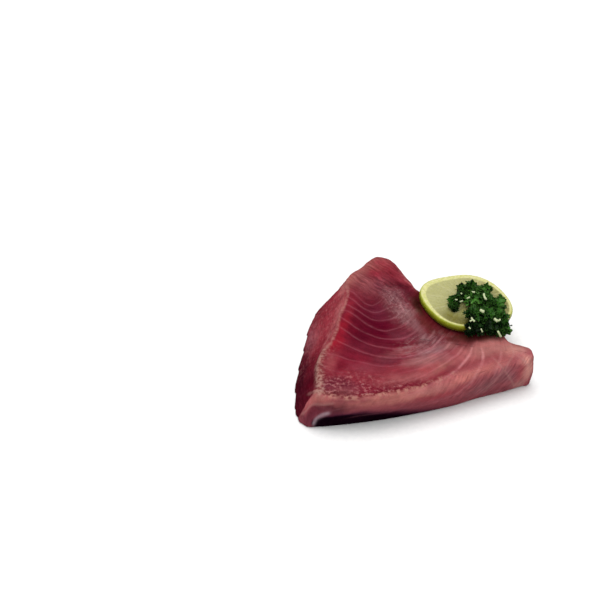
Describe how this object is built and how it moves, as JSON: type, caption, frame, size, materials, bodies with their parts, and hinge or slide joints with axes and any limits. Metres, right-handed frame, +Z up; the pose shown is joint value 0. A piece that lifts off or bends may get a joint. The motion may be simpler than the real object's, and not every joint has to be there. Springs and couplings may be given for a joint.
{
  "type": "raw tuna steak",
  "caption": "Thick triangular slice of raw red tuna lying flat, with a round lime slice and a sprig of curly parsley on its upper cut face.",
  "frame": {"origin": "centre of the bounding box on the surface that the steak lies on", "axes": "+X along the long front edge, towards the blunt end that carries the lime; +Y towards the apex; +Z up"},
  "size_m": [0.1304, 0.1133, 0.0382],
  "materials": {
    "tuna_flesh": "moist raw red fish flesh, dark between thin pale connective lines, with a smooth pinkish skin side",
    "lime": "wet pale green pulp inside a cream pith ring and a glossy yellow-green rind",
    "parsley_leaf": "dark green, matt, crisp curled leaf with paler stalks"
  },
  "bodies": {
    "root": {"steak": "tuna_flesh", "lime_slice": "lime", "parsley": "parsley_leaf"}
  },
  "joints": []
}
